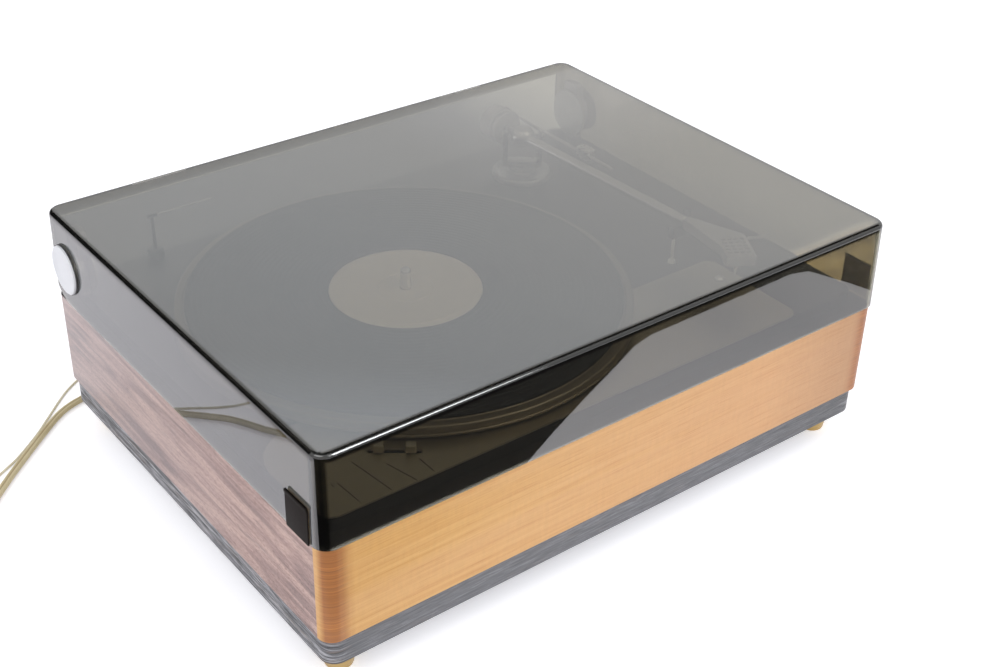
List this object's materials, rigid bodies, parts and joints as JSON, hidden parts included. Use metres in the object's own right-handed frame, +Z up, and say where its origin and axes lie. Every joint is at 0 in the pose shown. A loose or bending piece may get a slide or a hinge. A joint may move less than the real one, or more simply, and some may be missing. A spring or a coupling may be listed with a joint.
{
  "type": "turntable",
  "caption": "Belt-drive turntable: wooden plinth on tapered feet, platter, tonearm with rest, front control strip and a smoked hinged lid.",
  "frame": {"origin": "on the table under the middle of the turntable", "axes": "+X to the right, +Y to the rear, +Z up"},
  "size_m": [0.6583, 0.4147, 0.167],
  "materials": {
    "orange_wood": "satin",
    "black_stained_wood": "satin",
    "hardboard": "matte",
    "brass": "satin",
    "black_deck": "satin",
    "champagne_strip": "satin",
    "turned_aluminium": "satin",
    "rubber_mat": "matte",
    "bright_steel": "satin",
    "chrome_tube": "polished",
    "headshell_metal": "satin",
    "black_metal": "gloss",
    "black_plastic": "matte",
    "belt_rubber": "matte",
    "smoked_acrylic": "gloss",
    "satin_cap": "satin",
    "soft_black": "matte",
    "beige_lead": "satin",
    "white_wire": "satin"
  },
  "bodies": {
    "plinth": {"foot_front_left": "brass", "foot_front_right": "brass", "foot_rear_left": "brass", "foot_rear_right": "brass", "base_skirt": "black_stained_wood", "bottom_board": "hardboard", "plinth_frame": "orange_wood", "deck_plate": "black_deck", "well_pan": "black_metal", "bearing_housing": "bright_steel", "motor_body": "bright_steel", "drive_belt": "belt_rubber", "control_strip": "champagne_strip", "strip_screw": "bright_steel", "arm_base": "black_metal", "arm_rest_post": "chrome_tube", "arm_rest_clip": "black_plastic", "side_post_base": "black_plastic", "hinge_bracket_left": "black_plastic", "hinge_bracket_right": "black_plastic", "hinge_plate_left": "black_metal", "hinge_plate_right": "black_metal", "hinge_pin_left": "bright_steel", "hinge_pin_right": "bright_steel", "strain_relief": "beige_lead", "mains_cord": "beige_lead", "mains_coil": "beige_lead", "mains_tie": "soft_black", "mains_plug": "beige_lead", "earth_grommet": "soft_black", "earth_wire": "white_wire", "earth_coil": "white_wire", "earth_tie": "soft_black", "earth_lug": "bright_steel"},
    "lid": {"lid_shell": "smoked_acrylic", "hinge_cap_left": "satin_cap", "hinge_cap_right": "satin_cap", "lid_grip_left": "soft_black", "lid_grip_right": "soft_black"},
    "platter_group": {"spindle": "bright_steel", "sub_platter": "black_plastic", "platter": "turned_aluminium", "platter_mat": "rubber_mat"},
    "pulley": {"motor_pulley": "brass"},
    "arm_fork": {"arm_yoke": "black_metal", "pivot_screw_left": "bright_steel", "pivot_screw_right": "bright_steel"},
    "tonearm": {"arm_tube": "chrome_tube", "side_rod": "chrome_tube", "headshell": "headshell_metal", "finger_lift": "chrome_tube", "cartridge": "black_plastic", "stylus": "bright_steel"},
    "tail_weight": {"counterweight": "black_metal"},
    "rider": {"rider_weight": "bright_steel"},
    "speed_slider": {"speed_lever": "champagne_strip"},
    "start_slider": {"start_lever": "champagne_strip"},
    "side_swivel": {"side_post": "black_metal", "side_arm": "chrome_tube"}
  },
  "joints": [
    {"name": "lid_hinge", "type": "hinge", "parent": "plinth", "child": "lid", "pos_m": [0, 0.1412, 0.1326], "axis": [-1, 0, 0], "range_deg": [0, 75]},
    {"name": "platter_spin", "type": "hinge", "parent": "plinth", "child": "platter_group", "pos_m": [-0.0485, 0.0015, 0.1194], "axis": [0, 0, 1], "continuous": true},
    {"name": "pulley_spin", "type": "hinge", "parent": "plinth", "child": "pulley", "pos_m": [-0.10808, -0.07756, 0.1119], "axis": [0, 0, 1], "continuous": true},
    {"name": "arm_swing", "type": "hinge", "parent": "plinth", "child": "arm_fork", "pos_m": [0.13, 0.106, 0.1455], "axis": [0, 0, 1], "range_deg": [-48, 0]},
    {"name": "arm_tilt", "type": "hinge", "parent": "arm_fork", "child": "tonearm", "pos_m": [0.13, 0.106, 0.1455], "axis": [-0.788, 0.6157, 0], "range_deg": [0, 3.2]},
    {"name": "counterweight_slide", "type": "slide", "parent": "tonearm", "child": "tail_weight", "axis": [-0.0396, 0.9992, 0], "range_m": [-0.004, 0.004]},
    {"name": "rider_slide", "type": "slide", "parent": "tonearm", "child": "rider", "axis": [0, 1, 0], "range_m": [-0.02, 0.03]},
    {"name": "speed_lever_slide", "type": "slide", "parent": "plinth", "child": "speed_slider", "axis": [0.81, -0.5864, 0], "range_m": [-0.003, 0.004]},
    {"name": "start_lever_slide", "type": "slide", "parent": "plinth", "child": "start_slider", "axis": [0.81, -0.5864, 0], "range_m": [-0.004, 0.003]},
    {"name": "side_post_turn", "type": "hinge", "parent": "plinth", "child": "side_swivel", "pos_m": [-0.153, 0.15, 0.145], "axis": [0, 0, 1], "range_deg": [-80, 20]}
  ],
  "couplings": [
    {"joint": "pulley_spin", "follows": "platter_spin", "ratio": 10}
  ]
}
